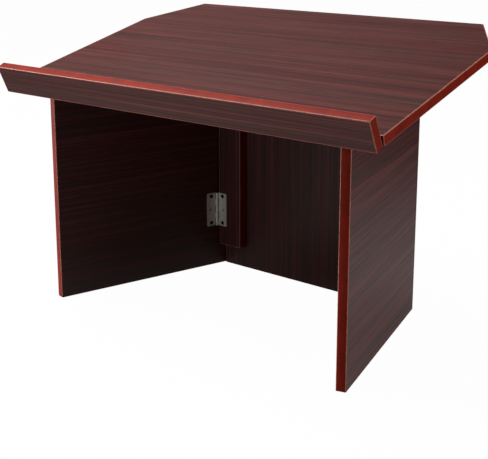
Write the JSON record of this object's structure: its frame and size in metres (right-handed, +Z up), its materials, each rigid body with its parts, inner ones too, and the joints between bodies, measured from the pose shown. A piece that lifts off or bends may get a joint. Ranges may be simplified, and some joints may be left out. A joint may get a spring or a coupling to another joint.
{
  "type": "folding lectern stand",
  "caption": "Table-top lectern with a sloped desk and book ledge on a three-panel frame; the side panels fold in on butt hinges and the desk tips up.",
  "frame": {"origin": "middle of the bounding box, on the surface that the stand rests on", "axes": "+X to the reader's right, +Y away from the reader, +Z up"},
  "size_m": [0.724, 0.4356, 0.4776],
  "materials": {
    "laminate": "semi-matt dark mahogany melamine laminate on board, wood-grain print",
    "edge_band": "red-brown PVC edge band, satin",
    "strip": "dark stained wood",
    "dowel": "plain beech",
    "hinge_steel": "zinc-plated pressed steel, satin",
    "screw": "black oxide steel"
  },
  "bodies": {
    "frame": {"back_panel": "laminate", "back_panel_edge_band": "edge_band", "desk_left_hinge_fixed_leaf": "hinge_steel", "desk_left_hinge_fixed_leaf_screw_1": "screw", "desk_left_hinge_fixed_leaf_screw_2": "screw", "desk_left_hinge_pin": "hinge_steel", "desk_right_hinge_fixed_leaf": "hinge_steel", "desk_right_hinge_fixed_leaf_screw_1": "screw", "desk_right_hinge_fixed_leaf_screw_2": "screw", "desk_right_hinge_pin": "hinge_steel", "hinge_batten": "laminate", "hinge_batten_edge_band": "edge_band", "left_lower_hinge_fixed_leaf": "hinge_steel", "left_lower_hinge_fixed_leaf_screw_1": "screw", "left_lower_hinge_fixed_leaf_screw_2": "screw", "left_lower_hinge_pin": "hinge_steel", "left_upper_hinge_fixed_leaf": "hinge_steel", "left_upper_hinge_fixed_leaf_screw_1": "screw", "left_upper_hinge_fixed_leaf_screw_2": "screw", "left_upper_hinge_pin": "hinge_steel", "right_lower_hinge_fixed_leaf": "hinge_steel", "right_lower_hinge_fixed_leaf_screw_1": "screw", "right_lower_hinge_fixed_leaf_screw_2": "screw", "right_lower_hinge_pin": "hinge_steel", "right_upper_hinge_fixed_leaf": "hinge_steel", "right_upper_hinge_fixed_leaf_screw_1": "screw", "right_upper_hinge_fixed_leaf_screw_2": "screw", "right_upper_hinge_pin": "hinge_steel"},
    "left_side": {"left_lower_hinge_moving_leaf": "hinge_steel", "left_lower_hinge_moving_leaf_screw_1": "screw", "left_lower_hinge_moving_leaf_screw_2": "screw", "left_side_panel": "laminate", "left_side_panel_edge_band": "edge_band", "left_upper_hinge_moving_leaf": "hinge_steel", "left_upper_hinge_moving_leaf_screw_1": "screw", "left_upper_hinge_moving_leaf_screw_2": "screw"},
    "right_side": {"right_lower_hinge_moving_leaf": "hinge_steel", "right_lower_hinge_moving_leaf_screw_1": "screw", "right_lower_hinge_moving_leaf_screw_2": "screw", "right_side_panel": "laminate", "right_side_panel_edge_band": "edge_band", "right_upper_hinge_moving_leaf": "hinge_steel", "right_upper_hinge_moving_leaf_screw_1": "screw", "right_upper_hinge_moving_leaf_screw_2": "screw"},
    "desk": {"book_ledge": "laminate", "book_ledge_edge_band": "edge_band", "desk_board": "laminate", "desk_board_edge_band": "edge_band", "desk_left_hinge_moving_leaf": "hinge_steel", "desk_left_hinge_moving_leaf_screw_1": "screw", "desk_left_hinge_moving_leaf_screw_2": "screw", "desk_right_hinge_moving_leaf": "hinge_steel", "desk_right_hinge_moving_leaf_screw_1": "screw", "desk_right_hinge_moving_leaf_screw_2": "screw", "ledge_dowel_1": "dowel", "ledge_dowel_2": "dowel", "ledge_dowel_3": "dowel", "ledge_dowel_4": "dowel", "ledge_strip": "strip"}
  },
  "joints": [
    {"name": "left_fold", "type": "hinge", "parent": "frame", "child": "left_side", "pos_m": [-0.19716, 0.14053, 0], "axis": [0, 0, 1], "range_deg": [0, 105.5]},
    {"name": "right_fold", "type": "hinge", "parent": "frame", "child": "right_side", "pos_m": [0.19272, 0.15653, 0], "axis": [0, 0, -1], "range_deg": [0, 105.5]},
    {"name": "desk_tilt", "type": "hinge", "parent": "frame", "child": "desk", "pos_m": [0, 0.17753, 0.44956], "axis": [-1, 0, 0], "range_deg": [0, 104.5]}
  ]
}
